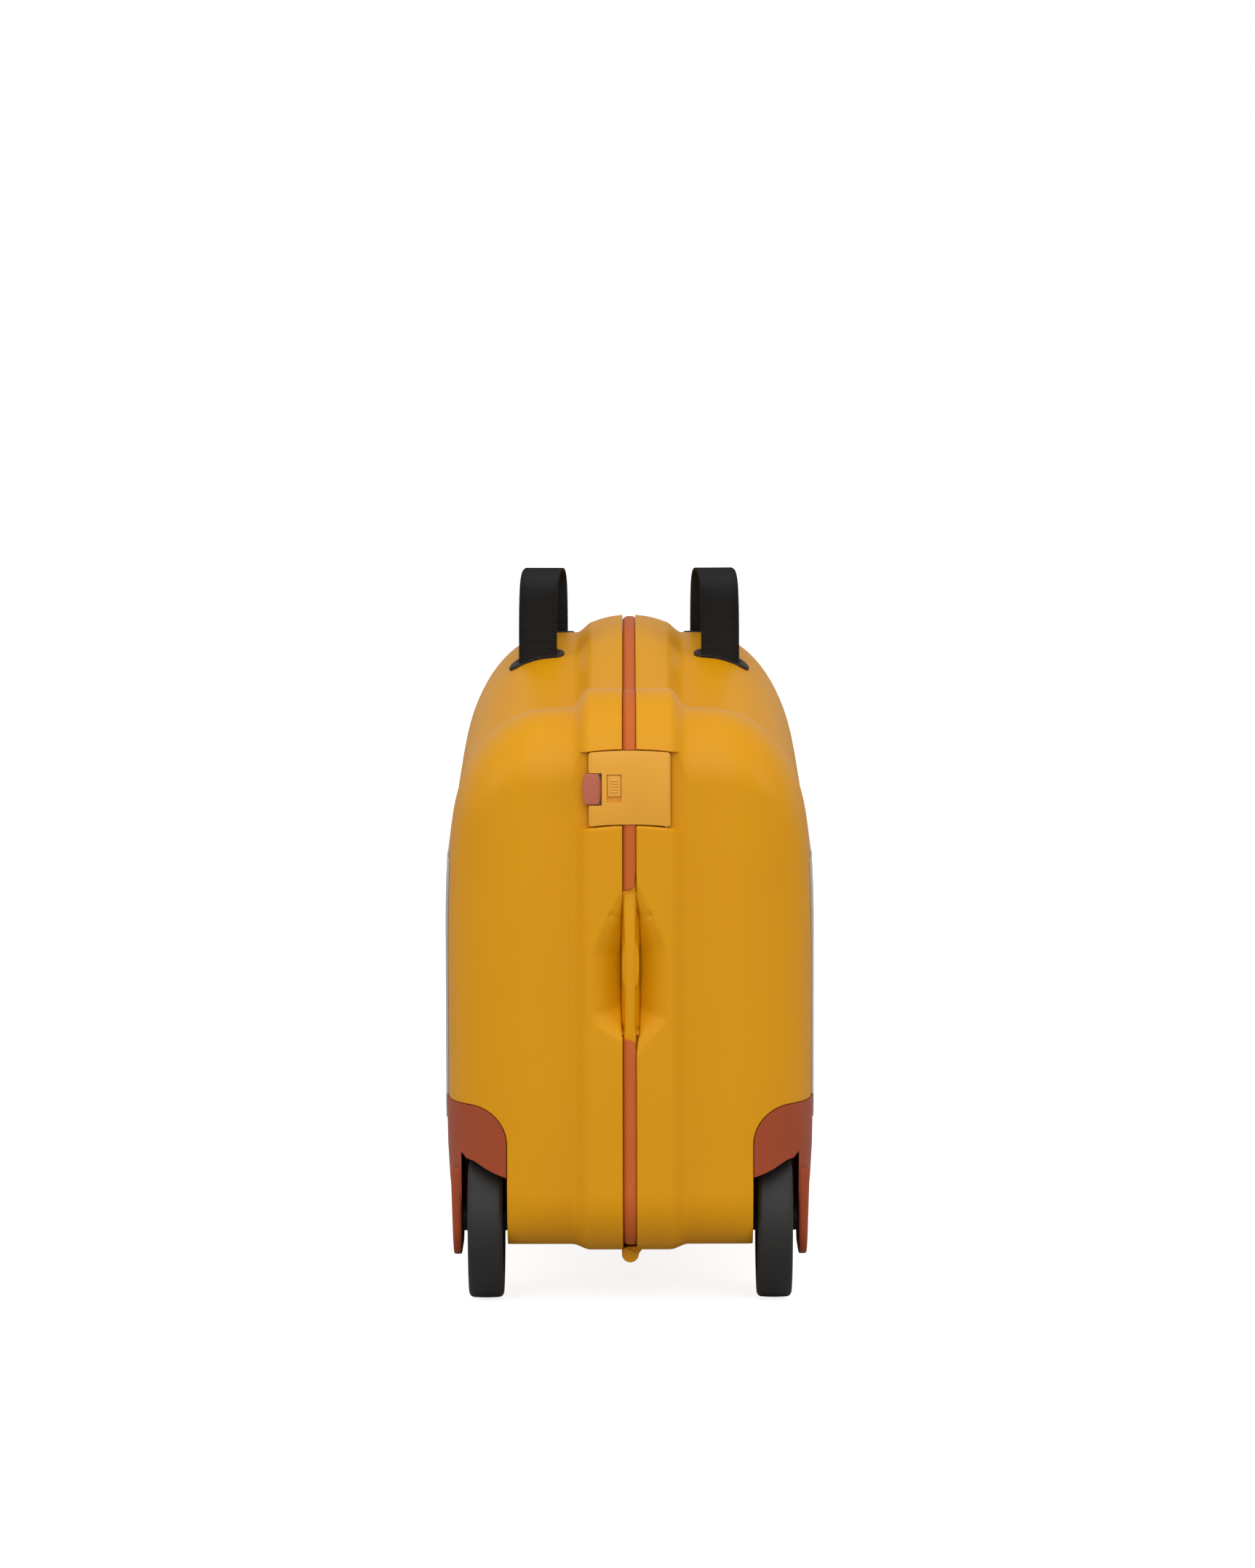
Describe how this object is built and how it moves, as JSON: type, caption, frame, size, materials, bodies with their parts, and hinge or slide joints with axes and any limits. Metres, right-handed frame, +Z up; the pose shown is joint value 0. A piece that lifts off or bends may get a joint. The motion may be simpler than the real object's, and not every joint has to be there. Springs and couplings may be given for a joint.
{
  "type": "ride-on suitcase",
  "caption": "Child's ride-on hard suitcase that opens as a clamshell, with saddle-shaped top, end latches, fixed rear wheels, front swivel casters and webbing grips.",
  "frame": {"origin": "on the floor under the middle of the case", "axes": "+Z up, +Y along the case towards the webbing grips, +X to the right half seen from the near end"},
  "size_m": [0.22, 0.51, 0.4015],
  "materials": {
    "shell": "satin moulded ABS",
    "strip": "satin moulded plastic",
    "bracket": "fine-grained moulded plastic",
    "latch": "satin moulded plastic",
    "button": "satin moulded plastic",
    "rubber": "soft rubber",
    "hub": "moulded plastic",
    "webbing": "ribbed woven webbing",
    "bezel": "moulded plastic",
    "panel": "printed sheet, satin",
    "steel": "plated steel",
    "inner": "moulded plastic"
  },
  "bodies": {
    "left_half": {"left_shell": "shell", "left_side_panel": "panel", "left_rear_bracket": "bracket", "left_caster_cup": "bracket", "left_rear_axle": "steel", "left_bracket_screw": "steel", "left_caster_stem": "steel", "left_front_caster_screw": "steel", "left_rear_caster_screw": "steel", "left_front_strap_bar": "steel", "left_rear_strap_bar": "steel", "left_strap": "webbing", "left_front_bezel": "bezel", "left_rear_bezel": "bezel", "hinge_pin": "steel", "near_latch_base": "inner", "near_button_spring": "steel", "far_latch_base": "inner", "far_button_spring": "steel", "packing_belt_lower": "webbing", "packing_belt_upper": "webbing", "packing_buckle": "bezel"},
    "right_half": {"right_shell": "shell", "right_side_panel": "panel", "right_rear_bracket": "bracket", "right_caster_cup": "bracket", "right_rear_axle": "steel", "right_bracket_screw": "steel", "right_caster_stem": "steel", "right_front_caster_screw": "steel", "right_rear_caster_screw": "steel", "right_front_strap_bar": "steel", "right_rear_strap_bar": "steel", "right_strap": "webbing", "right_front_bezel": "bezel", "right_rear_bezel": "bezel", "seam_strip_top": "strip", "seam_strip_near_upper": "strip", "seam_strip_lower": "strip", "near_latch_pin": "steel", "far_latch_pin": "steel"},
    "left_rear_wheel": {"left_rear_tyre": "rubber", "left_rear_hub": "hub"},
    "left_caster_swivel": {"left_caster_fork": "hub", "left_caster_axle": "steel"},
    "left_caster_wheel": {"left_caster_tyre": "rubber", "left_caster_hub": "hub"},
    "right_rear_wheel": {"right_rear_tyre": "rubber", "right_rear_hub": "hub"},
    "right_caster_swivel": {"right_caster_fork": "hub", "right_caster_axle": "steel"},
    "right_caster_wheel": {"right_caster_tyre": "rubber", "right_caster_hub": "hub"},
    "near_latch": {"near_latch_plate": "latch"},
    "near_slider": {"near_latch_slider": "latch"},
    "near_button": {"near_latch_button": "button"},
    "far_latch": {"far_latch_plate": "latch"},
    "far_slider": {"far_latch_slider": "latch"},
    "far_button": {"far_latch_button": "button"}
  },
  "joints": [
    {"name": "shell_hinge", "type": "hinge", "parent": "left_half", "child": "right_half", "pos_m": [0, 0, 0.029], "axis": [0, 1, 0], "range_deg": [0, 110]},
    {"name": "left_rear_spin", "type": "hinge", "parent": "left_half", "child": "left_rear_wheel", "pos_m": [-0.0825, -0.193, 0.046], "axis": [1, 0, 0], "continuous": true},
    {"name": "left_caster_turn", "type": "hinge", "parent": "left_half", "child": "left_caster_swivel", "pos_m": [-0.067, 0.185, 0.0455], "axis": [0, 0, 1], "continuous": true},
    {"name": "left_caster_spin", "type": "hinge", "parent": "left_caster_swivel", "child": "left_caster_wheel", "pos_m": [-0.067, 0.175, 0.02], "axis": [1, 0, 0], "continuous": true},
    {"name": "right_rear_spin", "type": "hinge", "parent": "right_half", "child": "right_rear_wheel", "pos_m": [0.0825, -0.193, 0.046], "axis": [1, 0, 0], "continuous": true},
    {"name": "right_caster_turn", "type": "hinge", "parent": "right_half", "child": "right_caster_swivel", "pos_m": [0.067, 0.185, 0.0455], "axis": [0, 0, 1], "continuous": true},
    {"name": "right_caster_spin", "type": "hinge", "parent": "right_caster_swivel", "child": "right_caster_wheel", "pos_m": [0.067, 0.175, 0.02], "axis": [1, 0, 0], "continuous": true},
    {"name": "near_latch_swing", "type": "hinge", "parent": "right_half", "child": "near_latch", "pos_m": [0.0204, -0.252, 0.2975], "axis": [0, 0, 1], "range_deg": [0, 100]},
    {"name": "near_slider_slide", "type": "slide", "parent": "near_latch", "child": "near_slider", "axis": [0, 0, -1], "range_m": [0, 0.0027]},
    {"name": "near_button_press", "type": "slide", "parent": "left_half", "child": "near_button", "axis": [0, 1, 0], "range_m": [0, 0.0016], "stiffness_N_per_m": 400, "deforming": ["near_button_spring"]},
    {"name": "far_latch_swing", "type": "hinge", "parent": "right_half", "child": "far_latch", "pos_m": [0.0204, 0.252, 0.238], "axis": [0, 0, -1], "range_deg": [0, 100]},
    {"name": "far_slider_slide", "type": "slide", "parent": "far_latch", "child": "far_slider", "axis": [0, 0, -1], "range_m": [0, 0.0027]},
    {"name": "far_button_press", "type": "slide", "parent": "left_half", "child": "far_button", "axis": [0, -1, 0], "range_m": [0, 0.0016], "stiffness_N_per_m": 400, "deforming": ["far_button_spring"]}
  ]
}
